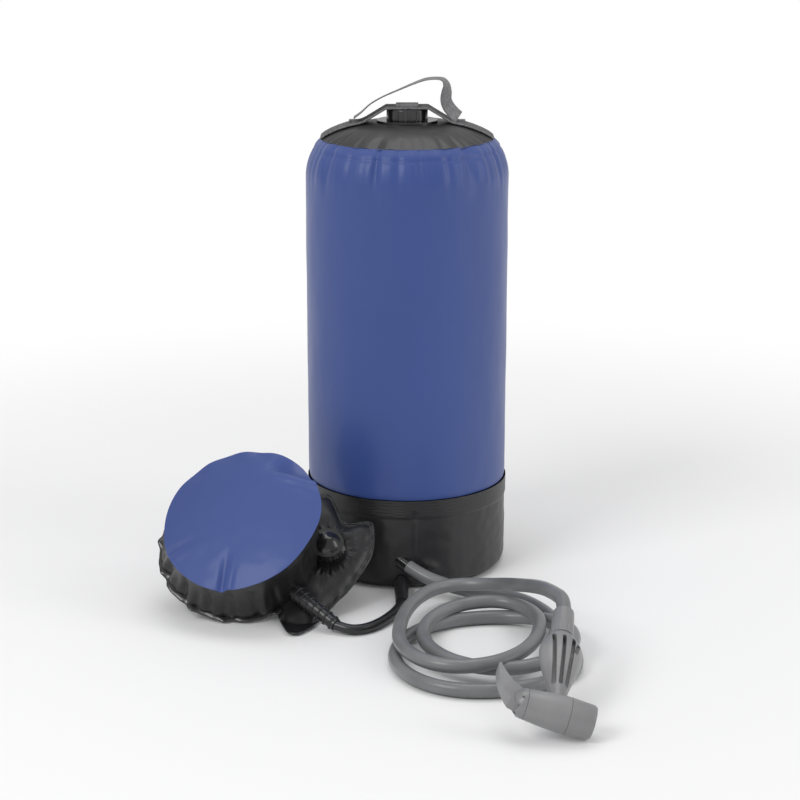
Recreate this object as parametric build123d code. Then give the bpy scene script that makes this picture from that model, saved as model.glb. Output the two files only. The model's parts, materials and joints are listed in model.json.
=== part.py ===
from build123d import *
import math
import os

# A portable pressure shower: a soft tank with a fill cap, a foot pump and a hand-held spray head.
# Millimetres, +Z up. The origin is the centre of the tank's bottom, on the floor, and -Y is the front.

# Fits
FIT = 0.2
CLEAR = 0.3
RUNNING = 0.06

# Tank
TANK_R = 100.0
SLEEVE_WALL = 1.2
CUP_WALL = 1.6
CUP_CORNER = 12.0
SEAM_Z = 92.0
BAND_HEIGHT = 18.0
BAND_WALL = 1.2
SHOULDER_Z = 398.0
RIM_R = 85.0
RIM_Z = 435.0
DOME_TOP_R = 30.0
DOME_RISE = 15.8
DOME_WALL = 1.6

# Fill neck and cap
NECK_BORE_R = 14.0
NECK_R = 16.5
NECK_DEPTH = 6.0
NECK_HEIGHT = 9.8
FLANGE_R = 34.0
FLANGE_THICK = 2.0
CAP_R = 20.5
CAP_TOP = 2.4
CAP_FLUTES = 12
CAP_FLUTE_R = 3.0
CAP_FLUTE_DEPTH = 0.9
GASKET_THICK = 0.7

# Strap over the cap, and the carry handle
STRAP_WIDTH = 30.0
STRAP_THICK = 1.6
STRAP_LIFT_R = 44.0
STRAP_FOOT_R = 83.5
PATCH_LENGTH = 22.0
PATCH_WIDTH = 26.0
PATCH_THICK = 2.0
HANDLE_ROOT_X = 51.0
HANDLE_AXIS_ABOVE_STRAP = 3.75
HANDLE_WIDTH = 22.0
HANDLE_THICK = 1.6
HANDLE_BAR_R = 1.2
HANDLE_BAR_LENGTH = 7.0
HANDLE_TAPER = 31.0
TACK_LENGTH = 12.0
TACK_WIDTH = 7.0
# Bends of the loop above its root line, from the left root to the right one: x, height, bend radius
HANDLE_BENDS = [(-32.0, 20.0, 55.0), (14.0, 38.5, 30.0), (41.0, 37.0, 9.0), (37.5, 18.0, 14.0)]

# Hoses
HOSE_D = 13.0
PUMP_HOSE_D = 9.5
BEND_SHARE = 0.45
# Route of the shower hose from the tank to the coil, and from the coil to the handset
TAIL_ROUTE = [(-4.0, -97.0, 27.5), (14.0, -111.4, 19.3), (37.4, -120.5, 12.8), (64.0, -127.5, 8.0), (88.0, -131.5, 6.5)]
LEAD_ROUTE = [(54.0, -139.0, 19.5), (78.0, -146.0, 22.5), (96.0, -168.0, 31.0), (107.0, -200.0, 42.0),
              (116.0, -232.0, 53.0), (124.0, -262.0, 62.0), (131.0, -286.0, 66.5)]
LEAD_STRAIGHT = 20.0
COIL_CENTRE = (70.0, -252.0)
COIL_HALF_X = 88.0
COIL_HALF_Y = 125.0
COIL_HOLE_CENTRE = (70.0, -258.0)
COIL_HOLE_HALF_X = 48.0
COIL_HOLE_HALF_Y = 62.0
COIL_HEIGHT = 26.0
COIL_CORNER = 6.0
# Route of the pump hose from its boot at the pump to its cuff at the tank
PUMP_HOSE_ROUTE = [(-67.0, -214.0, 7.4), (-57.5, -219.5, 5.6), (-46.0, -219.5, 4.9), (-34.5, -212.5, 4.9),
                   (-24.5, -199.5, 4.9), (-16.0, -184.0, 4.9), (-9.5, -169.0, 5.3), (-5.0, -154.0, 6.4)]

# Fittings on the tank
SPIGOT_R = 7.0
SPIGOT_BORE_R = 4.2
SPIGOT_INSIDE = 14.0
SPIGOT_OUTSIDE = 7.5
INLET_WALL_POINT = (-6.0, -98.5, 9.0)
INLET_R = 4.2
INLET_BORE_R = 2.2
INLET_INSIDE = 9.0
INLET_NUT_R = 7.5
INLET_NUT_THICK = 3.0
CUFF_TANK_R = 7.4
CUFF_HOSE_R = 6.2
CHECK_VALVE_R = 5.6
CHECK_VALVE_LENGTH = 12.0

# Foot pump, in its own tilted frame: x to the right, y up the slope, z out of its base
PUMP_CENTRE_XY = (-161.0, -129.0)
PUMP_TILT = 40.0
HEM_R = 79.0
HEM_WAVE = 1.5
HEM_WAVES = 26
PUMP_R = 75.5
CHORD_ANGLE = -25.0
CHORD_DISTANCE = 57.0
CHORD_CORNER = 16.0
BASE_THICK = 2.4
SKIRT_WALL = 1.6
SKIRT_HEIGHT = 29.0
WALL_LOW = 27.5
WALL_HIGH = 56.0
WALL_THICK = 1.4
COVER_LOW = 54.2
COVER_RIM_HIGH = 58.0
COVER_WALL = 1.3
COVER_CROWN = 9.0
PUMP_TRAVEL = 24.0
FOAM_MARGIN = 12.0
FOAM_BORE_R = 6.0

# Tab panel that carries the intake valve: corners in the pump's frame, x and y
TAB_CORNERS = [(30.0, -70.0), (54.0, -79.0), (82.0, -66.0), (115.0, -26.0), (124.5, 4.0), (123.0, 30.0),
               (104.0, 50.0), (72.0, 62.0), (40.0, 40.0)]
TAB_CORNER_R = 6.0
TAB_THICK = 7.0
TAB_RIM_WIDTH = 4.0
TAB_RIM_THICK = 2.0
VALVE_XY = (84.0, -4.0)
VALVE_FLANGE_R = 19.5
VALVE_FLANGE_THICK = 1.6
VALVE_NECK_R = 13.0
VALVE_BORE_R = 10.0
VALVE_NECK_HEIGHT = 12.0
VALVE_COLLAR_R = 18.5
VALVE_COLLAR_LOW = 2.2
VALVE_COLLAR_HIGH = 11.0
VALVE_SERRATIONS = 30
VALVE_SERRATION_R = 1.3
VALVE_DOME_R = 12.6
VALVE_DOME_HEIGHT = 7.0
VALVE_FLAP_THICK = 0.8

# Outlet of the pump
ELBOW_ALONG = -25.0
ELBOW_UP = 15.0
ELBOW_R = 7.5
ELBOW_BEND = 7.0
BOOT_START_R = 7.6
BOOT_END_R = 6.0
BOOT_RIDGES = 7
BOOT_RIDGE_R = 1.1

# Handset, in its own frame: x along the head to the spray face, y along the handle to the hose
HANDSET_LEAN = 17.5
HANDSET_ROLL = 16.0
HANDSET_YAW = 2.0
HANDSET_XY = (121.5, -450.0)
HEAD_REAR_X = -38.0
REAR_SEAM_X = -26.0
FRONT_SEAM_X = 10.0
HEAD_FRONT_X = 32.0
HEAD_REAR_R = 12.9
HEAD_MAX_R = 15.8
HEAD_FRONT_R = 14.6
FRONT_EDGE_R = 2.0
SEAM_GAP = 0.3
CHAMBER_R = 9.0
CHAMBER_BACK_X = -14.0
GRIP_START_Y = 8.0
GRIP_ROOT_HALF = 9.5
GRIP_WIDE_Y = 86.0
GRIP_WIDE_HALF = 17.0
GRIP_END_Y = 97.0
GRIP_END_HALF = 11.0
GRIP_ROOT_THICK = 19.0
GRIP_END_THICK = 23.0
GRIP_EDGE_R = 5.0
SLOT_WIDTH = 3.6
SLOT_DEPTH = 7.0
SLOT_LOW_Y = 27.0
SLOT_HIGH_Y = 90.0
SLOT_FAN = 7.2
SLOT_COUNT = 3
SIDE_HOLE_LENGTH = 20.0
SPIGOT_TAIL_R = 7.0
SPIGOT_TAIL_END_Y = 112.0
NUT_END_Y = 132.0
NUT_START_R = 10.6
NUT_END_R = 9.4
NUT_FLUTES = 14
NUT_FLUTE_R = 1.4
PLATE_R = 11.0
PLATE_THICK = 2.0
PLATE_RECESS = 1.2
PLATE_RINGS = [(1, 0.0), (6, 4.0), (12, 8.0)]
PLATE_HOLE_R = 0.7
WEB_THICK = 2.0
WEB_HOLE_R = 1.6
WEB_HOLE_RING_R = 5.6
WEB_HOLES = 6

# Thumb lever and valve, in the handset's frame
LEVER_PIVOT = (-30.5, -5.5)
LEVER_PIN_R = 1.5
LEVER_HUB_R = 3.6
LEVER_WIDTH = 11.0
LEVER_SWING = 12.0
LEVER_POCKET_DEPTH = 3.6
LEVER_POCKET_LOW_Y = -9.5
PLUNGER_TRAVEL = 1.7
PLUNGER_ROD_R = 2.4
PLUNGER_HEAD_R = 6.0
PLUNGER_HEAD_THICK = 3.0
SEAL_THICK = 2.0
SEAL_X = -10.3
SPRING_R = 4.2
SPRING_WIRE_R = 0.45
SPRING_TURNS = 5

parts = {}


def turned(*edges):
    """A solid of revolution about Z from the edges of a closed outline in the XZ plane."""
    return revolve(make_face(Wire(list(edges))), axis=Axis.Z)


def turned_polygon(points):
    """A solid of revolution about Z from (radius, height) corners."""
    line = Polyline([(r, 0, z) for r, z in points], close=True)
    return revolve(make_face(line), axis=Axis.Z)


def rod(start, end, radius, end_radius=None):
    """A round bar or cone between two points."""
    start = Vector(*start)
    end = Vector(*end)
    direction = end - start
    plane = Plane(origin=start, z_dir=direction)
    if end_radius is None:
        return extrude(plane * Circle(radius), direction.length)
    far = Plane(origin=end, z_dir=direction, x_dir=plane.x_dir)
    return loft([plane * Circle(radius), far * Circle(end_radius)])


def point_on(start, towards, distance):
    """The point at a distance from start on the way to towards."""
    start = Vector(*start)
    return start + (Vector(*towards) - start).normalized() * distance


def hose(name, points, diameter):
    """A tube on straight runs joined by tangent arcs, each as large as its two runs allow."""
    corners = [Vector(*p) for p in points]
    radii = []
    for before, here, after in zip(corners, corners[1:], corners[2:]):
        turn = math.radians((here - before).get_angle(after - here))
        shorter = min((here - before).length, (after - here).length)
        radii.append(BEND_SHARE * shorter / math.tan(turn / 2))
    path = FilletPolyline(*points, radius=radii)
    start = Plane(origin=path @ 0, z_dir=path % 0)
    tube = sweep(start * Circle(diameter / 2), path=path)
    expected = math.pi * (diameter / 2) ** 2 * path.length
    print(name, "radii", [round(r) for r in radii], "length", round(path.length),
          "volume share", round(tube.volume / expected, 4))
    return tube


# Tank: base cup, weld band, sleeve and top panel
def cup_plug(radius, corner, low, high):
    """The filled form of a round cup with a rounded bottom edge."""
    middle = radius - corner + corner * math.sqrt(0.5)
    return turned(
        Line((0, 0, low), (radius - corner, 0, low)),
        ThreePointArc((radius - corner, 0, low), (middle, 0, low + radius - middle), (radius, 0, low + corner)),
        Line((radius, 0, low + corner), (radius, 0, high)),
        Line((radius, 0, high), (0, 0, high)),
        Line((0, 0, high), (0, 0, low)),
    )


def sleeve_plug(radius, low):
    """The filled form of the tank from the seam to the rim, with its shoulder as one arc."""
    arc_r = ((TANK_R - RIM_R) ** 2 + (RIM_Z - SHOULDER_Z) ** 2) / (2 * (TANK_R - RIM_R))
    centre_r = TANK_R - arc_r
    this_r = radius - centre_r
    end_angle = math.asin((RIM_Z - SHOULDER_Z) / arc_r)
    end = (centre_r + this_r * math.cos(end_angle), 0, SHOULDER_Z + this_r * math.sin(end_angle))
    half = end_angle / 2
    middle = (centre_r + this_r * math.cos(half), 0, SHOULDER_Z + this_r * math.sin(half))
    start = (radius, 0, SHOULDER_Z)
    return turned(
        Line((0, 0, low), (radius, 0, low)),
        Line((radius, 0, low), start),
        ThreePointArc(start, middle, end),
        Line(end, (0, 0, end[2])),
        Line((0, 0, end[2]), (0, 0, low)),
    )


DOME_EDGE_R = RIM_R - FIT
DOME_ARC_R = ((DOME_EDGE_R - DOME_TOP_R) ** 2 + DOME_RISE ** 2) / (2 * DOME_RISE)
DOME_EDGE_Z = RIM_Z
DOME_Z = DOME_EDGE_Z + DOME_RISE


def dome_height(radius, above=0.0):
    """Height of the top panel's outer face, or of a face that lies above it."""
    reach = DOME_ARC_R + above
    return DOME_Z - DOME_ARC_R + math.sqrt(reach ** 2 - (radius - DOME_TOP_R) ** 2)


def dome_face(above, outer_r, inner_r):
    """An arc in the XZ plane that lies a distance above the top panel."""
    middle_r = (outer_r + inner_r) / 2
    return ThreePointArc(
        (outer_r, 0, dome_height(outer_r, above)),
        (middle_r, 0, dome_height(middle_r, above)),
        (inner_r, 0, dome_height(inner_r, above)),
    )


SPIGOT_AXIS = (Vector(*TAIL_ROUTE[1]) - Vector(*TAIL_ROUTE[0])).normalized()
SPIGOT_FACE = Vector(*TAIL_ROUTE[0]) + SPIGOT_AXIS * SPIGOT_OUTSIDE
SPIGOT_BACK = Vector(*TAIL_ROUTE[0]) - SPIGOT_AXIS * SPIGOT_INSIDE
INLET_AXIS = (Vector(*PUMP_HOSE_ROUTE[-1]) - Vector(*INLET_WALL_POINT)).normalized()
INLET_BACK = Vector(*INLET_WALL_POINT) - INLET_AXIS * INLET_INSIDE

base_cup = cup_plug(TANK_R, CUP_CORNER, 0, SEAM_Z)
base_cup -= cup_plug(TANK_R - CUP_WALL, CUP_CORNER - CUP_WALL, CUP_WALL, SEAM_Z + CUP_WALL)
base_cup -= rod(SPIGOT_BACK, SPIGOT_FACE + SPIGOT_AXIS * SPIGOT_R, SPIGOT_R + FIT)
base_cup -= rod(INLET_BACK, PUMP_HOSE_ROUTE[-1], INLET_R + FIT)
parts["base_cup"] = base_cup

BAND_INNER_R = TANK_R + FIT
parts["weld_band"] = turned_polygon([
    (BAND_INNER_R, SEAM_Z - BAND_HEIGHT), (BAND_INNER_R + BAND_WALL, SEAM_Z - BAND_HEIGHT),
    (BAND_INNER_R + BAND_WALL, SEAM_Z), (BAND_INNER_R, SEAM_Z),
])

SLEEVE_LOW = SEAM_Z + FIT
sleeve_inner = sleeve_plug(TANK_R - SLEEVE_WALL, SLEEVE_LOW - SLEEVE_WALL)
rim_cut = turned_polygon([(0, RIM_Z - 3 * SLEEVE_WALL), (RIM_R, RIM_Z - 3 * SLEEVE_WALL), (RIM_R, RIM_Z + 1), (0, RIM_Z + 1)])
parts["tank_sleeve"] = sleeve_plug(TANK_R, SLEEVE_LOW) - sleeve_inner - rim_cut

NECK_HOLE_R = NECK_R + FIT
parts["top_panel"] = turned(
    dome_face(0, DOME_EDGE_R, DOME_TOP_R),
    Line((DOME_TOP_R, 0, DOME_Z), (NECK_HOLE_R, 0, DOME_Z)),
    Line((NECK_HOLE_R, 0, DOME_Z), (NECK_HOLE_R, 0, DOME_Z - DOME_WALL)),
    Line((NECK_HOLE_R, 0, DOME_Z - DOME_WALL), (DOME_TOP_R, 0, DOME_Z - DOME_WALL)),
    ThreePointArc(
        (DOME_TOP_R, 0, DOME_Z - DOME_WALL),
        ((DOME_TOP_R + DOME_EDGE_R) / 2, 0, dome_height((DOME_TOP_R + DOME_EDGE_R) / 2) - DOME_WALL),
        (DOME_EDGE_R, 0, DOME_EDGE_Z - DOME_WALL),
    ),
    Line((DOME_EDGE_R, 0, DOME_EDGE_Z - DOME_WALL), (DOME_EDGE_R, 0, DOME_EDGE_Z)),
)

# Fill neck, gasket and cap
FLANGE_TOP = DOME_Z + FLANGE_THICK
NECK_TOP = DOME_Z + NECK_HEIGHT
parts["fill_neck"] = turned_polygon([
    (NECK_BORE_R, DOME_Z - NECK_DEPTH), (NECK_R, DOME_Z - NECK_DEPTH), (NECK_R, DOME_Z),
    (DOME_TOP_R, DOME_Z), (DOME_TOP_R, FLANGE_TOP), (NECK_R, FLANGE_TOP), (NECK_R, NECK_TOP), (NECK_BORE_R, NECK_TOP),
])

GASKET_LOW = NECK_TOP + CLEAR
CAP_UNDER = GASKET_LOW + GASKET_THICK
CAP_LOW = FLANGE_TOP + CLEAR
CAP_HIGH = CAP_UNDER + CAP_TOP
CAP_INNER_R = NECK_R + CLEAR
fill_cap = turned_polygon([
    (0, CAP_UNDER), (CAP_INNER_R, CAP_UNDER), (CAP_INNER_R, CAP_LOW), (CAP_R, CAP_LOW), (CAP_R, CAP_HIGH), (0, CAP_HIGH),
])
fill_cap = fillet(fill_cap.edges().group_by(Axis.Z)[-1], CAP_TOP / 2)
for flute in PolarLocations(CAP_R + CAP_FLUTE_R - CAP_FLUTE_DEPTH, CAP_FLUTES):
    fill_cap -= flute * Pos(0, 0, CAP_LOW) * Cylinder(CAP_FLUTE_R, 2 * (CAP_HIGH - CAP_LOW))
parts["fill_cap"] = fill_cap
parts["cap_gasket"] = turned_polygon([
    (NECK_BORE_R, GASKET_LOW), (NECK_R, GASKET_LOW), (NECK_R, CAP_UNDER), (NECK_BORE_R, CAP_UNDER),
])

# Strap over the cap, and the patch sewn to its top
STRAP_UNDER_Z = CAP_HIGH + CLEAR


def strap_edge(above, top_z):
    """One face of the strap's right half in the XZ plane, from its foot to the middle."""
    lift = (STRAP_LIFT_R, 0, dome_height(STRAP_LIFT_R, above))
    crown = (CAP_R, 0, top_z)
    return [dome_face(above, STRAP_FOOT_R, STRAP_LIFT_R), Line(lift, crown), Line(crown, (0, 0, top_z))]


STRAP_TOP_Z = STRAP_UNDER_Z + STRAP_THICK
under = strap_edge(CLEAR, STRAP_UNDER_Z)
over = strap_edge(CLEAR + STRAP_THICK, STRAP_TOP_Z)
foot = Line(under[0] @ 0, over[0] @ 0)
middle = Line((0, 0, STRAP_UNDER_Z), (0, 0, STRAP_TOP_Z))
strap_half = extrude(make_face(Wire(under + over + [foot, middle])), STRAP_WIDTH / 2, both=True)
parts["top_strap"] = strap_half + mirror(strap_half, Plane.YZ)
patch = extrude(Pos(0, 0, STRAP_TOP_Z) * RectangleRounded(PATCH_LENGTH, PATCH_WIDTH, 3), PATCH_THICK)
parts["strap_patch"] = patch

# Carry handle: a loop of webbing that swings about the line through its two tacks
STRAP_TOP_AT_ROOT = dome_height(HANDLE_ROOT_X, CLEAR + STRAP_THICK)
HANDLE_AXIS_Z = STRAP_TOP_AT_ROOT + HANDLE_AXIS_ABOVE_STRAP
bends = [(x, 0, HANDLE_AXIS_Z + up) for x, up, _ in HANDLE_BENDS]
loop_path = FilletPolyline(
    (-HANDLE_ROOT_X, 0, HANDLE_AXIS_Z), *bends, (HANDLE_ROOT_X, 0, HANDLE_AXIS_Z),
    radius=[radius for _, _, radius in HANDLE_BENDS],
)
loop_start = Plane(origin=loop_path @ 0, z_dir=loop_path % 0, x_dir=(0, 1, 0))
loop_band = sweep(loop_start * Rectangle(HANDLE_WIDTH, HANDLE_THICK), path=loop_path)
half_width = HANDLE_WIDTH / 2
taper_outline = Polyline(
    (0, -HANDLE_BAR_R, HANDLE_AXIS_Z - HANDLE_BAR_R), (0, -HANDLE_BAR_R, HANDLE_AXIS_Z),
    (0, -half_width, HANDLE_AXIS_Z + HANDLE_TAPER), (0, -half_width, HANDLE_AXIS_Z + 2 * HANDLE_ROOT_X),
    (0, half_width, HANDLE_AXIS_Z + 2 * HANDLE_ROOT_X), (0, half_width, HANDLE_AXIS_Z + HANDLE_TAPER),
    (0, HANDLE_BAR_R, HANDLE_AXIS_Z), (0, HANDLE_BAR_R, HANDLE_AXIS_Z - HANDLE_BAR_R),
    close=True,
)
taper = extrude(make_face(taper_outline), 2 * HANDLE_ROOT_X, both=True)
loop_band = loop_band & taper
for side in (-1, 1):
    bar_middle = side * HANDLE_ROOT_X
    half_bar = HANDLE_BAR_LENGTH / 2
    loop_band += rod((bar_middle - half_bar, 0, HANDLE_AXIS_Z), (bar_middle + half_bar, 0, HANDLE_AXIS_Z), HANDLE_BAR_R)
parts["carry_handle"] = loop_band

TACK_TOP = HANDLE_AXIS_Z - HANDLE_BAR_R - CLEAR
tack_outline = make_face(Wire([
    dome_face(CLEAR + STRAP_THICK + FIT, HANDLE_ROOT_X + TACK_LENGTH / 2, HANDLE_ROOT_X - TACK_LENGTH / 2),
    Line(
        (HANDLE_ROOT_X - TACK_LENGTH / 2, 0, dome_height(HANDLE_ROOT_X - TACK_LENGTH / 2, CLEAR + STRAP_THICK + FIT)),
        (HANDLE_ROOT_X - TACK_LENGTH / 2, 0, TACK_TOP),
    ),
    Line((HANDLE_ROOT_X - TACK_LENGTH / 2, 0, TACK_TOP), (HANDLE_ROOT_X + TACK_LENGTH / 2, 0, TACK_TOP)),
    Line(
        (HANDLE_ROOT_X + TACK_LENGTH / 2, 0, TACK_TOP),
        (HANDLE_ROOT_X + TACK_LENGTH / 2, 0, dome_height(HANDLE_ROOT_X + TACK_LENGTH / 2, CLEAR + STRAP_THICK + FIT)),
    ),
]))
tack = extrude(tack_outline, TACK_WIDTH / 2, both=True)
parts["handle_tacks"] = Compound(children=[tack, mirror(tack, Plane.YZ)])

# Water outlet and air inlet through the base cup
outlet_spigot = rod(SPIGOT_BACK, SPIGOT_FACE, SPIGOT_R) - rod(SPIGOT_BACK, SPIGOT_FACE, SPIGOT_BORE_R)
parts["outlet_spigot"] = outlet_spigot
inlet_end = Vector(*INLET_WALL_POINT) + INLET_AXIS * (CUP_WALL + INLET_NUT_THICK)
inlet = rod(INLET_BACK, inlet_end, INLET_R)
parts["air_inlet"] = inlet - rod(INLET_BACK, inlet_end, INLET_BORE_R)
valve_end = INLET_BACK - INLET_AXIS * CHECK_VALVE_LENGTH
parts["inlet_check_valve"] = rod(INLET_BACK, valve_end, CHECK_VALVE_R, CHECK_VALVE_R / 2)
parts["inlet_cuff"] = rod(inlet_end, PUMP_HOSE_ROUTE[-1], CUFF_TANK_R, CUFF_HOSE_R)

# Foot pump
PUMP_CENTRE_Z = (HEM_R + HEM_WAVE) * math.sin(math.radians(PUMP_TILT))
PUMP_NORMAL = (0, -math.sin(math.radians(PUMP_TILT)), math.cos(math.radians(PUMP_TILT)))
PUMP = Plane(origin=(*PUMP_CENTRE_XY, PUMP_CENTRE_Z), x_dir=(1, 0, 0), z_dir=PUMP_NORMAL)


def pump_outline(inset):
    """The pump's round plan with its flat side towards the tab, set in by a distance."""
    keep = Rot(0, 0, CHORD_ANGLE) * Pos(CHORD_DISTANCE - 2 * PUMP_R, 0) * Rectangle(4 * PUMP_R, 4 * PUMP_R)
    face = Circle(PUMP_R) & keep
    face = fillet(face.vertices(), CHORD_CORNER)
    if inset:
        face = offset(face, amount=-inset)
    return face


def pump_ring(inset, thickness, low, high):
    """A wall that follows the pump's plan."""
    outer = extrude(Pos(0, 0, low) * pump_outline(inset), high - low)
    inner = extrude(Pos(0, 0, low) * pump_outline(inset + thickness), high - low)
    return outer - inner


def hem_outline():
    """The wavy welded edge under the skirt, cut off along the flat side."""
    count = HEM_WAVES * 4
    ring = []
    for step in range(count):
        angle = 2 * math.pi * step / count
        radius = HEM_R + HEM_WAVE * math.cos(HEM_WAVES * angle)
        ring.append((radius * math.cos(angle), radius * math.sin(angle)))
    face = make_face(Spline(*ring, periodic=True))
    keep = Rot(0, 0, CHORD_ANGLE) * Pos(CHORD_DISTANCE + HEM_WAVE - 2 * HEM_R, 0) * Rectangle(4 * HEM_R, 4 * HEM_R)
    return face & keep


SKIRT_LOW = BASE_THICK
parts["pump_base"] = PUMP.location * extrude(hem_outline(), BASE_THICK)
parts["pump_skirt"] = PUMP.location * pump_ring(0, SKIRT_WALL, SKIRT_LOW, SKIRT_HEIGHT)
WALL_INSET = SKIRT_WALL + CLEAR
parts["pump_wall"] = PUMP.location * pump_ring(WALL_INSET, WALL_THICK, WALL_LOW, WALL_HIGH)

COVER_INSET = WALL_INSET - CLEAR - COVER_WALL
CROWN_R = (PUMP_R ** 2 + COVER_CROWN ** 2) / (2 * COVER_CROWN)


def pump_lid(inset, top, low):
    """The filled form of the pump's cover: its plan, cut by a wide sphere."""
    block = extrude(Pos(0, 0, low) * pump_outline(inset), top + COVER_CROWN - low)
    return block & (Pos(0, 0, top + COVER_CROWN - CROWN_R) * Sphere(CROWN_R))


cover_inside = pump_lid(COVER_INSET + COVER_WALL, COVER_RIM_HIGH - COVER_WALL, COVER_LOW)
parts["pump_cover"] = PUMP.location * (pump_lid(COVER_INSET, COVER_RIM_HIGH, COVER_LOW) - cover_inside)
FOAM_HIGH = COVER_RIM_HIGH - COVER_WALL - PUMP_TRAVEL - CLEAR
foam = pump_lid(FOAM_MARGIN, FOAM_HIGH, BASE_THICK + CLEAR)
foam -= Pos(0, 0, FOAM_HIGH / 2) * Cylinder(FOAM_BORE_R, 2 * FOAM_HIGH)
parts["pump_foam"] = PUMP.location * foam

# Tab panel with the intake valve
tab_face = make_face(Polyline(*TAB_CORNERS, close=True))
tab_face = fillet(tab_face.vertices(), TAB_CORNER_R)
hem_keep_out = Circle(HEM_R + HEM_WAVE + FIT)
chord_keep = Rot(0, 0, CHORD_ANGLE) * Pos(CHORD_DISTANCE + HEM_WAVE + FIT - 2 * HEM_R, 0) * Rectangle(4 * HEM_R, 4 * HEM_R)
hem_keep_out = hem_keep_out & chord_keep
tab_face = tab_face - hem_keep_out
inner_face = offset(tab_face, amount=-TAB_RIM_WIDTH)
tab = extrude(tab_face, TAB_RIM_THICK) + extrude(inner_face, TAB_THICK)
valve_hole = Pos(*VALVE_XY, TAB_THICK) * Cylinder(VALVE_BORE_R, TAB_THICK)
tab -= valve_hole
parts["pump_tab"] = PUMP.location * tab

VALVE = PUMP.location * Pos(*VALVE_XY, TAB_THICK)
parts["intake_flange"] = VALVE * turned_polygon([
    (VALVE_BORE_R, 0), (VALVE_FLANGE_R, 0), (VALVE_FLANGE_R, VALVE_FLANGE_THICK), (VALVE_NECK_R, VALVE_FLANGE_THICK),
    (VALVE_NECK_R, VALVE_NECK_HEIGHT), (VALVE_BORE_R, VALVE_NECK_HEIGHT),
])
FLAP_LOW = VALVE_NECK_HEIGHT / 2
parts["intake_flap"] = VALVE * Pos(0, 0, FLAP_LOW) * Cylinder(
    VALVE_BORE_R - FIT, VALVE_FLAP_THICK, align=(Align.CENTER, Align.CENTER, Align.MIN))
collar_inner = VALVE_NECK_R + CLEAR
collar_low = VALVE_FLANGE_THICK + CLEAR
collar_top_inner = VALVE_BORE_R
collar_high = VALVE_NECK_HEIGHT + CLEAR
collar = turned_polygon([
    (collar_inner, collar_low), (VALVE_COLLAR_R, collar_low), (VALVE_COLLAR_R, VALVE_COLLAR_HIGH - 1.5),
    (VALVE_COLLAR_R - 2.5, collar_high + 1.8), (collar_top_inner, collar_high + 1.8), (collar_top_inner, collar_high),
    (collar_inner, collar_high),
])
serration = Cylinder(VALVE_SERRATION_R, VALVE_COLLAR_HIGH, align=(Align.CENTER, Align.CENTER, Align.MIN))
for place in PolarLocations(VALVE_COLLAR_R + VALVE_SERRATION_R / 2, VALVE_SERRATIONS):
    collar -= place * serration
parts["intake_collar"] = VALVE * collar
dome_base = collar_high + 1.8
dome_sphere_r = (VALVE_DOME_R ** 2 + VALVE_DOME_HEIGHT ** 2) / (2 * VALVE_DOME_HEIGHT)
dome = Pos(0, 0, dome_base + VALVE_DOME_HEIGHT - dome_sphere_r) * Sphere(dome_sphere_r)
dome &= Pos(0, 0, dome_base) * Cylinder(VALVE_DOME_R, VALVE_DOME_HEIGHT, align=(Align.CENTER, Align.CENTER, Align.MIN))
parts["intake_dome"] = VALVE * dome

# Outlet elbow, boot and check valve of the pump
boot_end = Vector(*PUMP_HOSE_ROUTE[0])
chord_out = Vector(1, 0, 0).rotate(Axis.Z, CHORD_ANGLE)
chord_along = Vector(0, 1, 0).rotate(Axis.Z, CHORD_ANGLE)
elbow_local = chord_out * (CHORD_DISTANCE + FIT) + chord_along * ELBOW_ALONG + Vector(0, 0, ELBOW_UP)
elbow_root = PUMP.from_local_coords(elbow_local)
elbow_top = PUMP.from_local_coords(elbow_local + chord_out * (ELBOW_R + 1.5))
boot_start = elbow_top + (boot_end - elbow_top).normalized() * (ELBOW_R + CLEAR)
elbow_path = FilletPolyline(tuple(elbow_root), tuple(elbow_top), tuple(boot_start), radius=ELBOW_BEND)
elbow_start = Plane(origin=elbow_path @ 0, z_dir=elbow_path % 0)
elbow = sweep(elbow_start * Circle(ELBOW_R - 1), path=elbow_path)
print("elbow turn", (elbow_top - elbow_root).get_angle(boot_start - elbow_top), elbow.volume, elbow_path.length)
parts["outlet_elbow"] = elbow
boot = rod(boot_start, boot_end, BOOT_START_R, BOOT_END_R)
boot_vector = boot_end - boot_start
for ridge in range(BOOT_RIDGES):
    share = (ridge + 0.5) / BOOT_RIDGES
    radius = BOOT_START_R + (BOOT_END_R - BOOT_START_R) * share
    plane = Plane(origin=boot_start + boot_vector * share, z_dir=boot_vector)
    boot += plane.location * Torus(radius, BOOT_RIDGE_R)
parts["hose_boot"] = boot

# Hoses
parts["pump_hose"] = hose("pump_hose", PUMP_HOSE_ROUTE, PUMP_HOSE_D)
tail_points = [tuple(SPIGOT_FACE)] + TAIL_ROUTE[1:]
parts["shower_hose_tail"] = hose("shower_hose_tail", tail_points, HOSE_D)
coil_outer = Pos(*COIL_CENTRE, 0) * Ellipse(COIL_HALF_X, COIL_HALF_Y)
coil_hole = Pos(*COIL_HOLE_CENTRE, 0) * Ellipse(COIL_HOLE_HALF_X, COIL_HOLE_HALF_Y)
coil = extrude(coil_outer, COIL_HEIGHT) - extrude(coil_hole, COIL_HEIGHT)
coil = fillet(coil.edges().group_by(Axis.Z)[-1] + coil.edges().group_by(Axis.Z)[0], COIL_CORNER)
parts["shower_hose_coil"] = coil

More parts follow.
